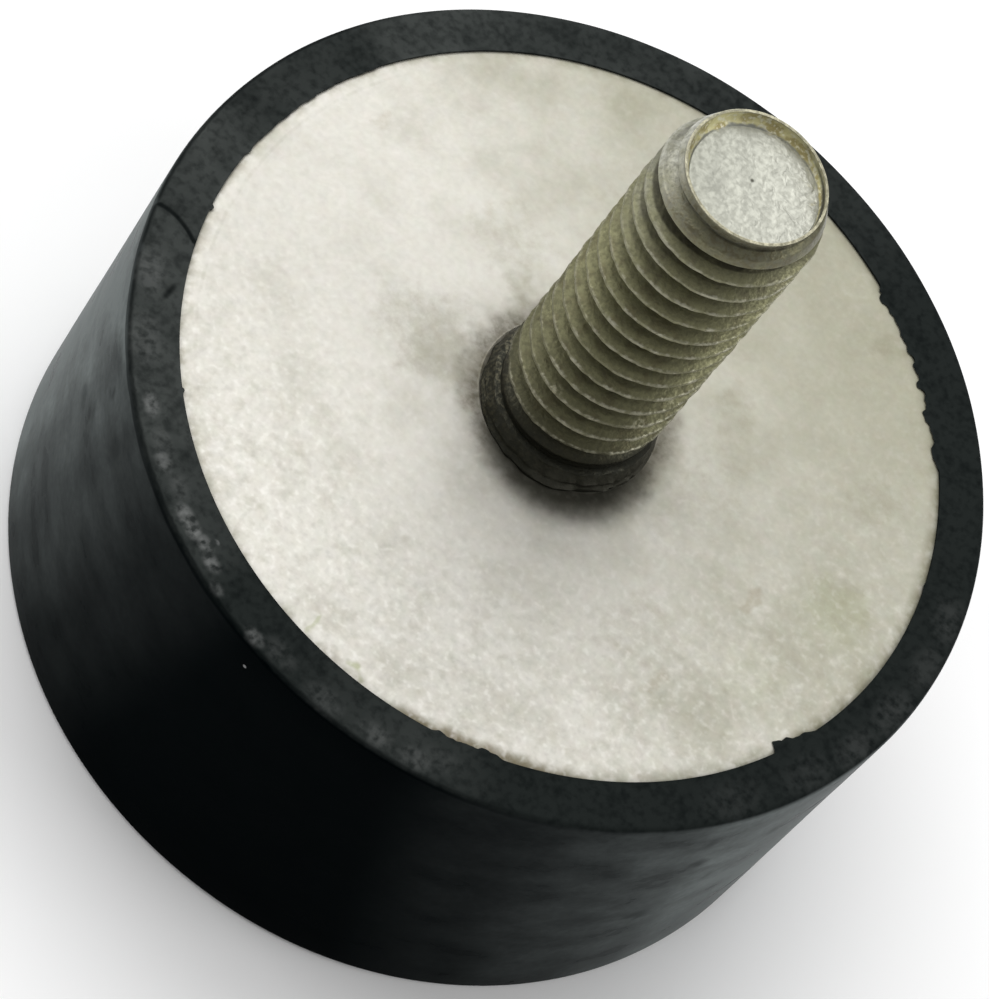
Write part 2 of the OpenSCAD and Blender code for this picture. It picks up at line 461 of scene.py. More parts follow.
def makePlateZinc():
    look = plateLook
    material, tree, shader = newMaterial("zincPlate")
    coords = objectCoords(tree)
    radius = axisRadius(tree, coords)
    grain = useGroup(tree, grainGroup, {"Vector": coords, "Size": 0.32 * mm}).outputs
    cloud = noiseMask(tree, coords, 4.0 * mm, 3.0)
    patch = noiseMask(tree, coords, 0.9 * mm, 4.0)
    # the plating turns yellow-grey across the face; the darkening across it is partly painted shade, with
    # more painted shade towards +Y
    across = slopeAlong(tree, coords, (0.72, 0.69, 0))
    shifted = calc(tree, "MULTIPLY_ADD", calc(tree, "SUBTRACT", cloud, 0.5), 0.02, across)
    shadeToBack = mapRange(tree, slopeAlong(tree, coords, (0, 1, 0)), 4 * mm, 18 * mm, 0.0, 0.28)
    tint = calc(tree, "ADD", mapRange(tree, shifted, -10 * mm, 16 * mm, 0.0, 0.75), shadeToBack)
    base = mixColor(tree, tint, look["pale"], look["yellowGrey"])
    # the face is busier towards -Y
    frontward = slopeAlong(tree, coords, (0.35, -0.94, 0))
    busy = times(tree, mapRange(tree, radius, 9 * mm, 19 * mm, 0.55, 1.05),
                 mapRange(tree, frontward, -10 * mm, 14 * mm, 0.35, 1.5))
    clouded = mixColor(tree, mapRange(tree, cloud, 0.42, 0.7, 0.0, 0.16), base, look["olive"])
    shaded = times(tree, mapRange(tree, patch, 0.48, 0.76, 0.0, 0.15), busy)
    darker = mixColor(tree, shaded, clouded, look["olive"])
    lit = times(tree, mapRange(tree, patch, 0.48, 0.24, 0.0, 0.11), busy)
    mottled = mixColor(tree, lit, darker, look["bright"])
    # stains keep no round outline: their coordinates are bent first
    bend = addNode(tree, "ShaderNodeTexNoise", None, {
        "Vector": coords, "Scale": 1 / (2.2 * mm), "Detail": 2.0})
    pushed = addNode(tree, "ShaderNodeVectorMath", {"operation": "MULTIPLY_ADD"}, {
        0: bend.outputs["Color"], 1: (4 * mm, 4 * mm, 0), 2: coords}).outputs[0]
    bent = addNode(tree, "ShaderNodeVectorMath", {"operation": "SUBTRACT"}, {
        0: pushed, 1: (2 * mm, 2 * mm, 0)}).outputs[0]
    stain = useGroup(tree, grimeGroup, {
        "Vector": coords, "Soft Mask": spotMask(tree, bent, look["oliveSpots"]),
        "Size": 0.8 * mm}).outputs["Mask"]
    stained = mixColor(tree, calc(tree, "MULTIPLY", stain, 0.45), mottled, look["olive"])
    rust = useGroup(tree, grimeGroup, {
        "Vector": coords, "Soft Mask": spotMask(tree, bent, look["rustSpots"]),
        "Size": 0.35 * mm}).outputs["Mask"]
    rusted = mixColor(tree, calc(tree, "MULTIPLY", rust, 0.28), stained, look["rust"])
    greened = mixColor(tree, spotMask(tree, bent, look["greenSpots"]), rusted, look["green"])
    # grime at the foot of the stud, with the stud's painted shadow: its middle is set off towards +X and -Y
    footFar = distanceFrom(tree, coords, *look["footAt"])
    wobble = calc(tree, "SUBTRACT", patch, 0.5)
    unevenFar = calc(tree, "MULTIPLY_ADD", wobble, 0.6 * mm, footFar)
    grimeAndShadow = mapRange(tree, unevenFar, 5.95 * mm, 3.5 * mm, 0.0, 0.98)
    unevenRadius = calc(tree, "MULTIPLY_ADD", wobble, 1.8 * mm, radius)
    crusted = mapRange(tree, unevenRadius, 7.2 * mm, 4.9 * mm, 0.0, 0.78)
    gritty = times(tree, crusted, mapRange(tree, grain["Mottle"], 0.35, 0.65, 0.8, 1.1))
    dirtAndShadow = calc(tree, "MAXIMUM", grimeAndShadow, gritty)
    dirtiedShadowed = mixColor(tree, grimeAndShadow, mixColor(tree, gritty, greened, look["crust"]), look["grimeAndShade"])
    # the rolled edge is darker, more so towards +X
    rollStart = plateRadius - look["rollWidth"] * mm
    rightward = slopeAlong(tree, coords, (1, 0.1, 0))
    rolled = times(tree, mapRange(tree, radius, rollStart, plateRadius),
                   mapRange(tree, patch, 0.35, 0.65),
                   mapRange(tree, rightward, 14 * mm, 20 * mm, 0.5, 0.85))
    edged = mixColor(tree, rolled, dirtiedShadowed, look["olive"])
    # a jagged dirty band along the edge on the -Y side
    ragged = calc(tree, "MULTIPLY_ADD", wobble, 1.1 * mm, radius)
    frontMost = slopeAlong(tree, coords, (0.358, -0.934, 0))
    band = times(tree, mapRange(tree, ragged, plateRadius - 1.1 * mm, plateRadius - 0.05 * mm),
                 mapRange(tree, frontMost, 21.0 * mm, 21.8 * mm, 0.0, 0.85))
    banded = mixColor(tree, band, edged, look["edgeGrime"])
    # a faint line of painted shade where the rolled edge begins, on the -X side
    offLine = calc(tree, "ABSOLUTE", calc(tree, "SUBTRACT", radius, rollStart))
    leftward = slopeAlong(tree, coords, (-1, -0.1, 0))
    line = times(tree, mapRange(tree, offLine, 0.16 * mm, 0.03 * mm, 0.0, 0.14),
                 mapRange(tree, leftward, 15 * mm, 20 * mm), mapRange(tree, patch, 0.35, 0.6))
    lined = mixColor(tree, line, banded, look["olive"])
    # bright flecks and crumbs, painted glints of the grain, where the face is free of grime and painted
    # shadow, and duller pits between them
    clear = mapRange(tree, dirtAndShadow, 0.0, 0.5, 1.0, 0.0)
    lighter = times(tree, busy, mapRange(tree, tint, 0.0, 0.8, 1.0, 0.5))
    glintFlecks = times(tree, grain["GlintFleck"], clear, mapRange(tree, cloud, 0.4, 0.65, 0.04, 0.13), lighter)
    crumbs = noiseMask(tree, coords, 0.46 * mm, 1.6)
    crumbGlints = times(tree, mapRange(tree, crumbs, 0.5, 0.78, 0.0, 0.2), clear, lighter)
    flecked = mixColor(tree, calc(tree, "MAXIMUM", glintFlecks, crumbGlints), lined, look["bright"])
    pits = times(tree, mapRange(tree, crumbs, 0.28, 0.5, 0.12, 0.0), busy)
    toned = mixColor(tree, pits, flecked, look["pitted"])
    color = mixColor(tree, 0.03, toned, grain["Tint"], "OVERLAY")
    gloss = calc(tree, "MULTIPLY_ADD", dirtAndShadow, 0.3, mapRange(tree, grain["Mottle"], 0.3, 0.7, 0.68, 0.62))
    bump = addNode(tree, "ShaderNodeBump", None, {
        "Strength": 0.14, "Distance": 0.03 * mm, "Height": times(tree, busy, grain["Height"])}).outputs[0]
    setShader(tree, shader, {"Base Color": color, "Roughness": gloss, "Normal": bump}, {"Metallic": 0.5})
    return material


threadLook = {
    "crest": (0.36, 0.35, 0.265, 1), "flank": (0.2, 0.195, 0.106, 1), "brown": (0.125, 0.109, 0.058, 1),
    # the tip grey paints sheen and the last ring colour paints a highlight; the grime colour also paints
    # shade in the roots
    "grimeAndShade": (0.02, 0.018, 0.01, 1), "tipSheen": (0.28, 0.28, 0.225, 1), "lastRingHighlight": (0.62, 0.62, 0.54, 1),
    "foot": (0.009, 0.0098, 0.0066, 1), "crust": (0.064, 0.059, 0.038, 1),
    # the faded foot colour paints the foot's lowest band as shaded plate
    "footShadeGrey": (0.04, 0.039, 0.03, 1), "endFace": (0.37, 0.372, 0.325, 1),
    "endShade": (0.27, 0.274, 0.235, 1), "cupWall": (0.8, 0.75, 0.42, 1), "cupBrown": (0.5, 0.43, 0.2, 1),
    "cupPale": (0.86, 0.83, 0.64, 1), "lip": (0.42, 0.4, 0.29, 1), "speck": (0.05, 0.048, 0.034, 1),
    # painted glints at worn places on the thread: x, y, z, radius, strength
    "glints": [(4.23, -2.05, 35.2, 0.5, 0.8), (4.24, -2.02, 32.0, 0.6, 0.8), (2.94, -3.66, 29.3, 0.5, 0.6),
               (-1.08, -4.57, 29.6, 0.5, 0.6), (-4.12, -2.27, 29.8, 0.4, 0.7), (4.55, -1.17, 32.3, 0.6, 0.6),
               (3.54, -3.09, 30.0, 0.5, 0.6)],
    # marks on the cut end: x, y, z, radius, strength
    "endMarks": [(-0.09, 0.27, 47.6, 0.15, 0.85)]}


def makeThreadZinc():
    look = threadLook
    material, tree, shader = newMaterial("zincThread")
    coords = objectCoords(tree)
    height = addNode(tree, "ShaderNodeSeparateXYZ", None, {0: coords}).outputs[2]
    radius = axisRadius(tree, coords)
    grain = useGroup(tree, grainGroup, {"Vector": coords, "Size": 0.24 * mm}).outputs
    patch = noiseMask(tree, coords, 0.8 * mm, 4.0)
    # painted sheen: the flanks near the tip are paler, mostly on the -X side, with a painted highlight on the
    # last ring
    side = mapRange(tree, slopeAlong(tree, coords, (-0.75, 0.66, 0)), -3 * mm, 4 * mm, 0.15, 0.9)
    upper = mapRange(tree, height, tipZ - 9 * mm, tipZ - 1.5 * mm)
    sheenMask = times(tree, side, upper, mapRange(tree, patch, 0.3, 0.65, 0.35, 1.0))
    nearEnd = mapRange(tree, height, tipZ - 2.4 * mm, tipZ - 1.2 * mm)
    browned = mixColor(tree, mapRange(tree, patch, 0.48, 0.68, 0.0, 0.55), look["flank"], look["brown"])
    tipped = mixColor(tree, sheenMask, browned, look["tipSheen"])
    ringed = mixColor(tree, times(tree, nearEnd, sheenMask), tipped, look["lastRingHighlight"])
    mixed = calc(tree, "MULTIPLY_ADD", patch, 0.6, grain["Mottle"])
    spotted = times(tree, mapRange(tree, mixed, 0.68, 0.95, 0.08, 0.72),
                    mapRange(tree, side, 0.25, 0.75, 1.0, 0.1), nearEnd)
    plated = mixColor(tree, spotted, ringed, look["brown"])
    # grime and painted shade fill the roots, less on the lit -X side, and darken the thread towards the foot;
    # wear shows on the crests
    deep = mapRange(tree, radius, crestRadius - 0.05 * mm, crestRadius - 0.62 * mm)
    onStud = mapRange(tree, height, topZ - 1.2 * mm, topZ - 0.6 * mm)
    unevenLow = calc(tree, "MULTIPLY_ADD", patch, 3.0 * mm, height)
    nearFoot = mapRange(tree, unevenLow, topZ + 9.0 * mm, topZ + 3.0 * mm, 0.0, 0.8)
    lowHalf = mapRange(tree, height, topZ + 17 * mm, topZ + 3 * mm, 0.0, 0.42)
    lower = times(tree, calc(tree, "MAXIMUM", nearFoot, lowHalf), onStud)
    leftward = slopeAlong(tree, coords, (-0.95, -0.3, 0))
    litSide = mapRange(tree, leftward, 1.2 * mm, 4.4 * mm, 1.0, 0.45)
    rooted = times(tree, deep, mapRange(tree, height, topZ + 4 * mm, topZ + 20 * mm, 0.58, 0.42), litSide)
    soft = times(tree, calc(tree, "MAXIMUM", rooted, lower), calc(tree, "MULTIPLY_ADD", sheenMask, -0.5, 1.0))
    # thin lines of painted shade in the last roots and under the lip
    shallow = calc(tree, "MULTIPLY_ADD", litSide, 0.45 * mm, radius)
    root = times(tree, mapRange(tree, shallow, crestRadius - 0.04 * mm, crestRadius - 0.2 * mm, 0.0, 0.85),
                 upper, mapRange(tree, height, tipZ - 1.0 * mm, tipZ - 2.0 * mm))
    neck = times(tree, mapRange(tree, radius, crestRadius - 0.8 * mm, crestRadius - 0.9 * mm, 0.0, 0.85),
                 mapRange(tree, height, tipZ - 1.2 * mm, tipZ - 0.6 * mm))
    sootAndShade = calc(tree, "MAXIMUM", soft, calc(tree, "MAXIMUM", root, neck))
    sootShaded = times(tree, sootAndShade, mapRange(tree, patch, 0.2, 0.6, 0.75, 1.1))
    flank = mixColor(tree, sootShaded, plated, look["grimeAndShade"])
    chipped = calc(tree, "MULTIPLY_ADD", calc(tree, "SUBTRACT", grain["Mottle"], 0.5), 0.2 * mm, radius)
    wear = times(tree, mapRange(tree, chipped, crestRadius - 0.15 * mm, crestRadius - 0.02 * mm),
                 mapRange(tree, patch, 0.4, 0.6, 0.2, 1.0),
                 mapRange(tree, leftward, 2.2 * mm, 4.6 * mm, 1.0, 0.35))
    worn = mixColor(tree, wear, flank, look["crest"])
    shining = times(tree, spotMask(tree, coords, look["glints"]), mapRange(tree, grain["Mottle"], 0.4, 0.6))
    glinted = mixColor(tree, shining, worn, look["lip"])
    # packed grime and painted shade at the foot, crusty towards -X; towards +X its lowest band is painted as
    # shaded plate
    unevenFoot = calc(tree, "MULTIPLY_ADD", patch, 2.6 * mm, height)
    foot = times(tree, onStud, mapRange(tree, unevenFoot, topZ + 5.2 * mm, topZ + 2.6 * mm, 0.0, 0.97))
    crusty = mapRange(tree, slopeAlong(tree, coords, (-0.97, 0.1, 0)), 0.5 * mm, 5 * mm, 0.22, 0.95)
    crust = times(tree, mapRange(tree, grain["Mottle"], 0.4, 0.65), crusty)
    rightward = slopeAlong(tree, coords, (0.9, -0.44, 0))
    footShaded = times(tree, mapRange(tree, rightward, 2.0 * mm, 4.9 * mm, 0.0, 0.9),
                  mapRange(tree, height, topZ + 1.1 * mm, topZ + 0.5 * mm))
    footColor = mixColor(tree, footShaded, mixColor(tree, crust, look["foot"], look["crust"]), look["footShadeGrey"])
    footed = mixColor(tree, foot, glinted, footColor)
    # cut end: a pale floor in a stained cup with a bright lip
    high = mapRange(tree, height, tipZ - 0.95 * mm, tipZ - 0.85 * mm)
    inside = times(tree, high, mapRange(tree, radius, 3.8 * mm, 3.74 * mm))
    lean = slopeAlong(tree, coords, (0.8, 0.3, 0))
    endColor = mixColor(tree, mapRange(tree, lean, 2.5 * mm, -3.5 * mm), look["endFace"], look["endShade"])
    ended = mixColor(tree, inside, footed, endColor)
    unevenCup = calc(tree, "MULTIPLY_ADD", patch, 0.4 * mm, height)
    wall = times(tree, inside, mapRange(tree, unevenCup, tipZ - 0.56 * mm, tipZ - 0.44 * mm, 0.0, 0.92),
                 mapRange(tree, radius, 3.1 * mm, 3.35 * mm))
    stained = mixColor(tree, mapRange(tree, patch, 0.46, 0.62), look["cupWall"], look["cupBrown"])
    wallColor = mixColor(tree, mapRange(tree, grain["Mottle"], 0.5, 0.64), stained, look["cupPale"])
    walled = mixColor(tree, wall, ended, wallColor)
    lip = times(tree, mapRange(tree, height, tipZ - 0.1 * mm, tipZ - 0.03 * mm),
                mapRange(tree, patch, 0.32, 0.6, 0.35, 0.8))
    lipped = mixColor(tree, lip, walled, look["lip"])
    marked = mixColor(tree, spotMask(tree, coords, look["endMarks"]), lipped, look["grimeAndShade"])
    # dark specks all over, fainter on the cut end
    most = calc(tree, "MULTIPLY_ADD", nearEnd, 0.1, 0.22)
    specks = times(tree, mapRange(tree, grain["Mottle"], 0.32, 0.6, most, 0.0),
                   calc(tree, "MULTIPLY_ADD", inside, -0.85, 1.0))
    color = mixColor(tree, specks, marked, look["speck"])
    gloss = mapRange(tree, grain["Mottle"], 0.3, 0.7, 0.52, 0.36)
    # the cut end is crinkled more coarsely than the thread
    crinkle = noiseMask(tree, coords, 0.55 * mm, 2.5, 0.8)
    stronger = mapRange(tree, lean, -3 * mm, 3 * mm, 0.7, 1.9)
    relief = addNode(tree, "ShaderNodeMix", None, {
        0: inside, 2: grain["Height"], 3: times(tree, crinkle, stronger)}).outputs[0]
    bump = addNode(tree, "ShaderNodeBump", None, {
        "Strength": 0.6, "Distance": 0.05 * mm, "Height": relief}).outputs[0]
    setShader(tree, shader, {"Base Color": color, "Roughness": gloss, "Normal": bump}, {"Metallic": 0.8})
    return material


rubber = makeRubber()
plateZinc = makePlateZinc()
threadZinc = makeThreadZinc()
print("materials made")


# Rubber block
block = {
    "steps": 1440, "edgeRound": 0.4 * mm, "wallWave": 0.05 * mm, "rimWave": 0.04 * mm,
    "rimDepth": 0.42 * mm,  # how far below the top the rim is shaped
    "flashRoot": 0.3 * mm,  # how far below the top the flash begins
    # thin flash over the plate: from angle, to angle in degrees, reach over the plate
    "flash": [(35, 65, 0.36 * mm), (284, 294, 0.16 * mm), (155, 182, 0.1 * mm)],
    "leastFlash": 0.02 * mm, "flashGrain": 0.9 * mm, "flashLift": 0.03 * mm,
    # torn tabs of rubber: angle, widths before and after it in degrees, reach
    "tabs": [(336.7, 0.6, 2.3, 0.72 * mm), (338.0, 1.6, 3.0, 0.52 * mm), (340.0, 2.0, 4.2, 0.3 * mm),
             (43.4, 1.9, 1.9, 0.68 * mm), (48.6, 1.3, 1.3, 0.56 * mm), (37.4, 2.3, 2.3, 0.48 * mm),
             (63.0, 1.6, 1.6, 0.6 * mm), (15.3, 1.6, 0.8, 0.09 * mm), (193.0, 0.5, 0.5, 0.2 * mm),
             (223.2, 0.5, 0.5, 0.15 * mm), (291.5, 1.5, 1.5, 0.3 * mm)],
    # a crease across the top rim: angle in degrees at the outside and at the inside
    "crease": (195.8, 199.8), "creaseReach": 0.4 * mm, "creaseDepth": 0.1 * mm,
    # nicks: angle in degrees, radius, size, depth
    "nicks": [(208.3, 22.9 * mm, 0.6 * mm, 0.1 * mm), (203.0, 24.8 * mm, 0.6 * mm, 0.12 * mm),
              (262.0, 24.9 * mm, 0.5 * mm, 0.1 * mm)]}


def flashReach(angle):
    degrees = math.degrees(angle)
    around = Vector((math.cos(angle), math.sin(angle), 0)) * plateRadius
    grain = block["flashGrain"]
    ragged = 0.5 + 0.9 * rough(around, grain, 3) + 0.5 * rough(around, 0.35 * grain, 4)
    reach = block["leastFlash"]
    for low, high, most in block["flash"]:
        inside = smoothStep(low - 0.6, low + 0.6, degrees) * (1 - smoothStep(high - 0.6, high + 0.6, degrees))
        reach = max(reach, inside * most * min(1.25, max(0.15, ragged + 0.25)))
    for centre, before, after, most in block["tabs"]:
        worn = most * (0.9 + 0.18 * rough(around, 0.4 * grain, 6))
        wide = before if degrees < centre else after
        reach = max(reach, worn * (1 - smoothStep(0.3 * wide, wide, abs(degrees - centre))))
    return reach


def shapeRim(vert, radius, angle):
    # the top rim: soft waves, the crease and the nicks
    drop = block["rimWave"] * (0.5 + 0.5 * rough(vert.co, 4.0 * mm, 5))
    outward = (radius - plateRadius) / (blockRadius - plateRadius)
    outerAngle, innerAngle = block["crease"]
    creaseAt = outerAngle + (innerAngle - outerAngle) * max(0.0, 1 - outward) ** 2.5
    offLine = abs(math.radians(math.degrees(angle) - creaseAt)) * radius
    drop += block["creaseDepth"] * (1 - smoothStep(0, block["creaseReach"], offLine))
    for nickAngle, nickRadius, size, depth in block["nicks"]:
        away = (Vector((vert.co.x, vert.co.y)) - Vector(onRim(nickAngle, nickRadius))).length
        drop += depth * (1 - smoothStep(0.2 * size, size, away))
    vert.co.z -= drop


def makeBlock():
    bm = bmesh.new()
    seatZ, headZ = plateLow.z, studLow.z
    addOutline(bm, [
        (0, bushTop, 0, False), (bushRadius, bushTop, 0, False), (bushRadius, baseHigh.z, 0, False),
        (plateRadius, baseHigh.z, 0, False), (plateRadius, 0, 4, False), (blockRadius, 0, 9, True),
        (blockRadius, topZ, 15, True), (plateRadius, topZ, 0, False),
        (plateRadius, topZ - block["flashRoot"], 0, False), (plateRadius, seatZ, 0, False),
        (headRadius, seatZ, 0, False), (headRadius, headZ, 0, False), (0, headZ, 0, False)],
        block["edgeRound"], 6)
    spinOutline(bm, block["steps"], 24)
    for vert in bm.verts:
        radius, angle = polar(vert)
        if vert.co.z > topZ - block["rimDepth"] and radius > plateRadius + 0.01 * mm:
            shapeRim(vert, radius, angle)
        elif vert.co.z > topZ - 0.01 * mm:
            setRadius(vert, plateRadius - flashReach(angle))
            vert.co.z += block["flashLift"]
        if radius > blockRadius - block["edgeRound"]:
            wave = 0.5 + 0.5 * rough(vert.co, 6.0 * mm, 8)
            setRadius(vert, radius - block["wallWave"] * wave)
    finishPiece(bm, "rubberBlock", rubber, "rubber_body")


# Blanked end plates
plate = {
    "steps": 360, "rollWidth": 0.9 * mm, "rollDepth": 0.15 * mm, "sinkWidth": 0.3 * mm,
    "sinkDepth": 0.2 * mm, "seatRadius": crestRadius + 0.25 * mm, "collarRadius": tapRadius + 2 * mm,
    "burr": 0.1 * mm, "dish": 0.1 * mm, "dishRadius": 10 * mm, "wave": 0.03 * mm}


def rollDrop(radius):
    # how far the rolled-over edge lies below the face
    inside = radius - (plateRadius - plate["rollWidth"])
    if inside <= 0:
        return 0.0
    arc = (plate["rollWidth"] ** 2 + plate["rollDepth"] ** 2) / (2 * plate["rollDepth"])
    return arc - math.sqrt(arc * arc - inside * inside)


def makePlate(name, holeRadius, sunk, node, faceZ, innerZ):
    bm = bmesh.new()
    outward = 1 if faceZ > innerZ else -1
    sinkWidth = plate["sinkWidth"] if sunk else plate["burr"]
    sinkDepth = plate["sinkDepth"] if sunk else plate["burr"]
    addOutline(bm, [
        (holeRadius, innerZ, 0, False), (holeRadius, faceZ - outward * sinkDepth, 3, False),
        (holeRadius + sinkWidth, faceZ, 59, False), (plateRadius - plate["rollWidth"], faceZ, 11, False),
        (plateRadius, faceZ, 4, False), (plateRadius, innerZ, 11, True), (holeRadius, innerZ, 0, False)],
        plate["burr"], 2)
    spinOutline(bm, plate["steps"])
    for vert in bm.verts:
        radius = polar(vert)[0]
        face = abs(vert.co.z - faceZ) < 0.001 * mm
        if radius > plateRadius - 0.001 * mm and outward * (vert.co.z - innerZ) > 0.5 * plateThick:
            vert.co.z -= rollDrop(radius) * (vert.co.z - innerZ) / plateThick
        elif face:
            vert.co.z -= outward * rollDrop(radius)
        if face and sunk:
            near = 1 - smoothStep(holeRadius, plate["dishRadius"], radius)
            hollow = plate["wave"] * (0.5 + 0.5 * rough(vert.co, 5.0 * mm, 11)) + plate["dish"] * near
            vert.co.z -= hollow * (1 - smoothStep(plateRadius - 2 * mm, plateRadius, radius))
    finishPiece(bm, name, plateZinc, node)


# Rolled threads
thread = {
    "pitch": 1.5875 * mm, "depth": 0.974 * mm, "steps": 120, "points": 18,
    "crestFlat": 0.1, "rootFlat": 0.24,  # shares of the pitch
    "crestAt": 3.34 * mm,  # a crest's height over the plate on the -Y side
    "shoulder": 1.2 * mm, "runOut": 2.9 * mm, "plainDepth": 0.3 * mm,
    # rings of the shoulder's rounded top: radius past the crest, height over the shoulder
    "footRings": [(-0.15 * mm, -0.03 * mm), (0.0, -0.12 * mm), (0.12 * mm, -0.32 * mm)],
    "footTaper": 0.65 * mm, "footCuts": 5,
    "leadLength": 2.1 * mm, "leadDepth": 0.85 * mm, "ringHeight": 0.12 * mm, "ringBlend": 0.18 * mm,
    "lip": 0.15 * mm, "cupTaper": 0.25 * mm, "cupDepth": 0.8 * mm, "cupShift": 0.2 * mm,
    "cupWallRings": 3, "cupRings": 16, "wear": 0.07 * mm, "floorGrain": 0.025 * mm,
    "lumps": 0.09 * mm, "lumpPitch": 0.45 * mm, "flare": 0.36 * mm, "flareToward": (0.44, -0.9, 0)}
bush = {"mouth": 0.9 * mm, "tapDepth": 9.5 * mm, "depth": 0.8 * mm,
        "mouthRunOut": 0.5 * mm, "endRunOut": 1.2 * mm}


def ridge(phase, rootFlat, crestFlat):
    # 0 in the root, 1 on the crest, straight flanks between
    footAway = 0.5 - 0.5 * rootFlat
    lift = (footAway - abs(phase - 0.5)) / (footAway - 0.5 * crestFlat)
    return min(1.0, max(0.0, lift))


def sweepThread(bm, rootRadius, topRadius, startZ, lowZ, highZ):
    pitch, steps, points = thread["pitch"], thread["steps"], thread["points"]
    chain = []
    for k in range(points + 1):
        lift = ridge(k / points, thread["rootFlat"], thread["crestFlat"])
        radius = rootRadius + (topRadius - rootRadius) * lift
        chain.append(bm.verts.new((radius, 0, startZ + pitch * k / points)))
    edges = [bm.edges.new(pair) for pair in zip(chain, chain[1:])]
    bmesh.ops.spin(bm, geom=chain + edges, cent=(0, 0, 0), axis=(0, 0, 1), dvec=(0, 0, pitch / steps),
                   angle=fullTurn, steps=steps)
    oneTurn = bm.verts[:] + bm.edges[:] + bm.faces[:]
    for turn in range(1, math.ceil((highZ - startZ) / pitch) + 1):
        copied = bmesh.ops.duplicate(bm, geom=oneTurn)["geom"]
        bmesh.ops.translate(bm, vec=(0, 0, turn * pitch),
                            verts=[item for item in copied if isinstance(item, bmesh.types.BMVert)])
    bmesh.ops.remove_doubles(bm, verts=bm.verts, dist=0.002 * mm)
    for height, up in ((lowZ, -1), (highZ, 1)):
        bmesh.ops.bisect_plane(bm, geom=bm.verts[:] + bm.edges[:] + bm.faces[:], dist=0.001 * mm,
                               plane_co=(0, 0, height), plane_no=(0, 0, up), clear_outer=True)


def shapeStudVert(vert):
    radius = polar(vert)[0]
    over = vert.co.z - topZ
    below = tipZ - vert.co.z
    plainRadius = crestRadius - thread["plainDepth"]
    leadRadius = crestRadius - thread["leadDepth"]
    # worn, slightly ragged crests
    onCrest = smoothStep(crestRadius - 0.3 * mm, crestRadius, radius)
    ragged = 0.35 + rough(vert.co, 0.8 * mm, 21) + 0.6 * rough(vert.co, 0.3 * mm, 22)
    radius -= onCrest * thread["wear"] * max(0.0, ragged)
    # the thread runs out towards the shoulder
    free = smoothStep(thread["shoulder"], thread["runOut"], over)
    radius = plainRadius + (radius - plainRadius) * free
    # tapered lead and the plain ring at the tip
    cone = leadRadius + thread["leadDepth"] * min(1.0, below / thread["leadLength"])
    radius = min(radius, cone)
    ring = 1 - smoothStep(thread["ringHeight"], thread["ringHeight"] + thread["ringBlend"], below)
    radius += (leadRadius - radius) * ring
    setRadius(vert, radius)


def makeStud():
    bm = bmesh.new()
    pitch = thread["pitch"]
    footZ = topZ + thread["shoulder"]
    # the sweep starts on +X, three quarters of a turn before -Y, in a root three pitches lower
    crestZ = topZ + thread["crestAt"] - 0.75 * pitch
    startZ = crestZ - 0.5 * pitch - 3 * pitch
    sweepThread(bm, crestRadius - thread["depth"], crestRadius, startZ, footZ, tipZ)
    for vert in bm.verts:
        shapeStudVert(vert)
    # shoulder, seat and head, down inside the rubber
    rim = openRim(bm, footZ)
    seat = plate["seatRadius"]
    edgeZ = footZ - thread["footTaper"]
    cuts = thread["footCuts"]
    rings = [(crestRadius + out, footZ + up) for out, up in thread["footRings"]]
    rings += [(seat, edgeZ - (edgeZ - topZ) * k / cuts) for k in range(cuts + 1)]
    rings += [(seat, topZ - 0.12 * mm), (seat, topZ - 0.5 * mm), (seat, plateLow.z),
              (headRadius, plateLow.z), (headRadius, studLow.z)]
    for radius, height in rings:
        rim = stepRim(bm, rim, radius, height)
    bmesh.ops.edgeloop_fill(bm, edges=rim)
    # grime roughens the shoulder and flares at the plate
    for vert in bm.verts:
        radius = polar(vert)[0]
        over = vert.co.z - topZ
        if -0.13 * mm < over < thread["shoulder"] + 0.01 * mm:
            lumps = rough(vert.co, 0.8 * mm, 41) + 0.9 * rough(vert.co, 0.32 * mm, 42)
            lumps += 0.5 * math.sin(fullTurn * over / thread["lumpPitch"])
            toward = Vector(thread["flareToward"]).dot(vert.co) / radius
            flare = thread["flare"] * (0.1 + 0.9 * smoothStep(-0.3, 0.9, toward))
            flare *= (1 - smoothStep(-0.1 * mm, 0.8 * mm, over)) * (0.8 + 0.4 * rough(vert.co, 1.5 * mm, 43))
            setRadius(vert, radius + thread["lumps"] * lumps + flare)
    # cupped end
    lipRadius = crestRadius - thread["leadDepth"] - thread["lip"]
    floorRadius = lipRadius - thread["cupTaper"]
    floorZ = tipZ - thread["cupDepth"]
    rim = openRim(bm, tipZ)
    rim = stepRim(bm, rim, lipRadius, tipZ)
    for k in range(1, thread["cupWallRings"] + 1):
        part = k / thread["cupWallRings"]
        wallRadius = lipRadius - thread["cupTaper"] * part ** 2
        rim = stepRim(bm, rim, wallRadius, tipZ - thread["cupDepth"] * part ** 0.8)
    for k in range(1, thread["cupRings"]):
        rim = stepRim(bm, rim, floorRadius * (1 - k / thread["cupRings"]), floorZ)
    bmesh.ops.edgeloop_fill(bm, edges=rim)
    for vert in bm.verts:
        radius = polar(vert)[0]
        if vert.co.z > floorZ - 0.001 * mm and radius < lipRadius - 0.01 * mm:
            deep = (tipZ - vert.co.z) / thread["cupDepth"]
            vert.co.x += thread["cupShift"] * deep * smoothStep(0, lipRadius, radius)
            grain = rough(vert.co, 1.1 * mm, 31) + 0.5 * rough(vert.co, 0.5 * mm, 32)
            vert.co.z += deep * thread["floorGrain"] * grain
    finishPiece(bm, "threadedStud", threadZinc, "stud")


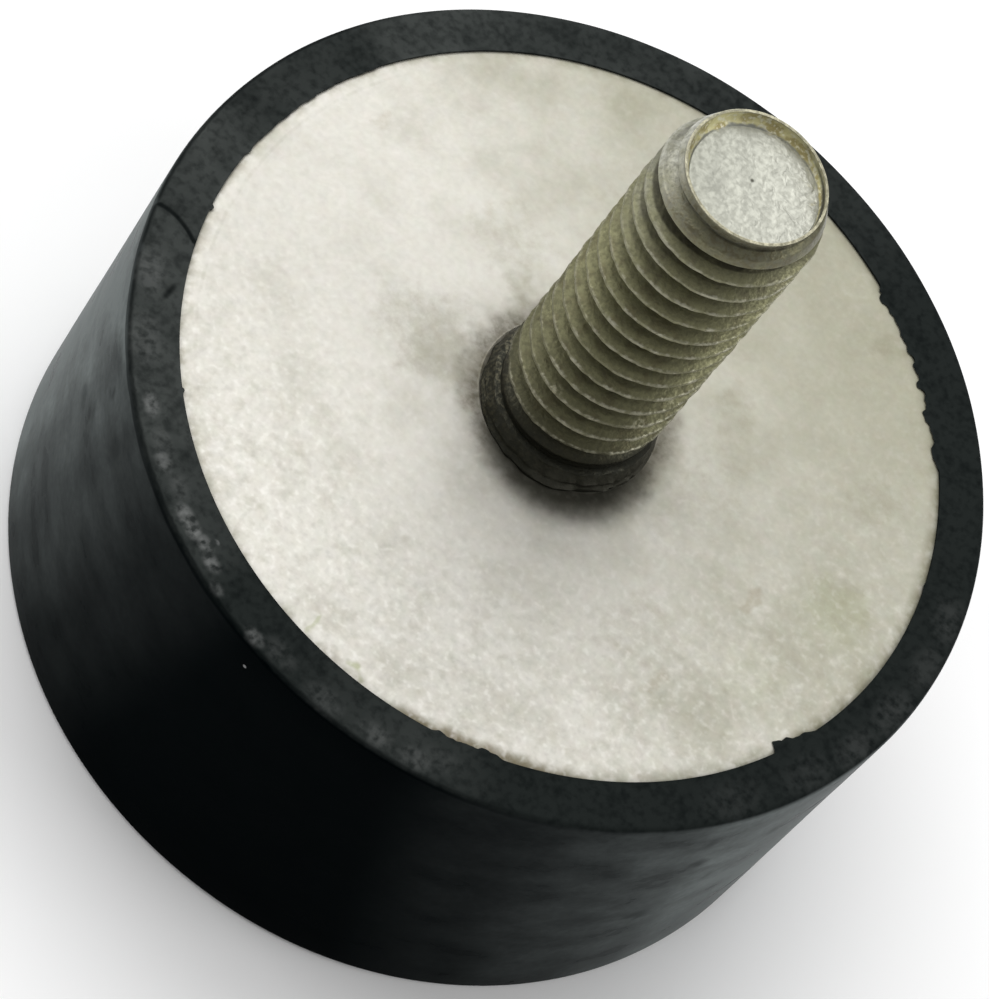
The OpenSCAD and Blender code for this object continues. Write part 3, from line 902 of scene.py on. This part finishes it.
def makeBush():
    bm = bmesh.new()
    lowZ, highZ = bush["mouth"], bush["tapDepth"]
    sweepThread(bm, tapRadius + bush["depth"], tapRadius, lowZ - 2 * thread["pitch"], lowZ, highZ)
    for vert in bm.verts:
        radius = polar(vert)[0]
        free = smoothStep(0, bush["mouthRunOut"], vert.co.z - lowZ)
        free *= smoothStep(0, bush["endRunOut"], highZ - vert.co.z)
        setRadius(vert, tapRadius + (radius - tapRadius) * free)
    bmesh.ops.edgeloop_fill(bm, edges=openRim(bm, highZ))
    # mouth, collar and wall, up inside the rubber
    rim = openRim(bm, lowZ)
    collar = plate["collarRadius"]
    for radius, height in [(tapRadius + bush["mouth"], 0), (collar, 0), (collar, baseHigh.z),
                           (bushRadius, baseHigh.z), (bushRadius, bushTop)]:
        rim = stepRim(bm, rim, radius, height)
    bmesh.ops.edgeloop_fill(bm, edges=rim)
    finishPiece(bm, "threadedBush", threadZinc, "threaded_bush")


makeBlock()
makePlate("topPlate", plate["seatRadius"], True, "top_plate", plateHigh.z, plateLow.z)
makePlate("basePlate", plate["collarRadius"], False, "base_plate", baseLow.z, baseHigh.z)
makeStud()
makeBush()


# Studio: floor, lamps and camera
studio = {
    "floorSize": 3.0, "floorColor": (0.96, 0.96, 0.96, 1), "worldStrength": 0.45,
    # lamps: name, place, size, power; each points at the block
    "lamps": [("keyBack", (-0.34, 0.52, 1.06), 1.2, 12.5), ("rightSide", (0.5, 0.12, 0.3), 0.3, 0.8),
              ("leftSide", (-0.5, -0.1, 0.26), 0.3, 0.8)]}
# the camera's distance from the plate's middle, its angles in degrees and what it looks at
shot = {
    "distance": 0.27088, "elevation": 54.52, "roll": 39.6, "aim": (0.16 * mm, -7.88 * mm, topZ),
    "focalPixels": 5000, "longSidePixels": 999, "sensor": 36}


def makeFloor():
    bm = bmesh.new()
    bmesh.ops.create_grid(bm, x_segments=4, y_segments=4, size=studio["floorSize"])
    mesh = bpy.data.meshes.new("studioFloor")
    bm.to_mesh(mesh)
    bm.free()
    material, tree, shader = newMaterial("paleFloor")
    setShader(tree, shader, {}, {
        "Base Color": studio["floorColor"], "Roughness": 0.9, "Specular IOR Level": 0.0})
    mesh.materials.append(material)
    floor = bpy.data.objects.new("studioFloor", mesh)
    bpy.context.scene.collection.objects.link(floor)


def makeLamps():
    target = Vector((0, 0, topZ))
    for name, place, size, power in studio["lamps"]:
        light = bpy.data.lights.new(name, "AREA")
        light.size = size
        light.energy = power
        lamp = bpy.data.objects.new(name, light)
        lamp.location = place
        lamp.rotation_euler = (target - Vector(place)).to_track_quat("-Z", "Y").to_euler()
        bpy.context.scene.collection.objects.link(lamp)
    world = bpy.data.worlds.new("studioWorld")
    world.use_nodes = True
    world.node_tree.nodes["Background"].inputs["Color"].default_value = (1, 1, 1, 1)
    world.node_tree.nodes["Background"].inputs["Strength"].default_value = studio["worldStrength"]
    bpy.context.scene.world = world


def makeCamera():
    rise = math.radians(shot["elevation"])
    place = Vector((0, -math.cos(rise), math.sin(rise))) * shot["distance"] + Vector((0, 0, topZ))
    look = Vector(shot["aim"]) - place
    lens = bpy.data.cameras.new("photoCamera")
    lens.sensor_width = shot["sensor"]
    lens.lens = shot["focalPixels"] / shot["longSidePixels"] * shot["sensor"]
    lens.clip_start = 0.01
    camera = bpy.data.objects.new("photoCamera", lens)
    camera.location = place
    turn = look.to_track_quat("-Z", "Y") @ Quaternion((0, 0, 1), math.radians(shot["roll"]))
    camera.rotation_euler = turn.to_euler()
    bpy.context.scene.collection.objects.link(camera)
    bpy.context.scene.camera = camera


makeFloor()
makeLamps()
makeCamera()
bpy.context.scene.view_settings.view_transform = "Standard"
print("studio set")
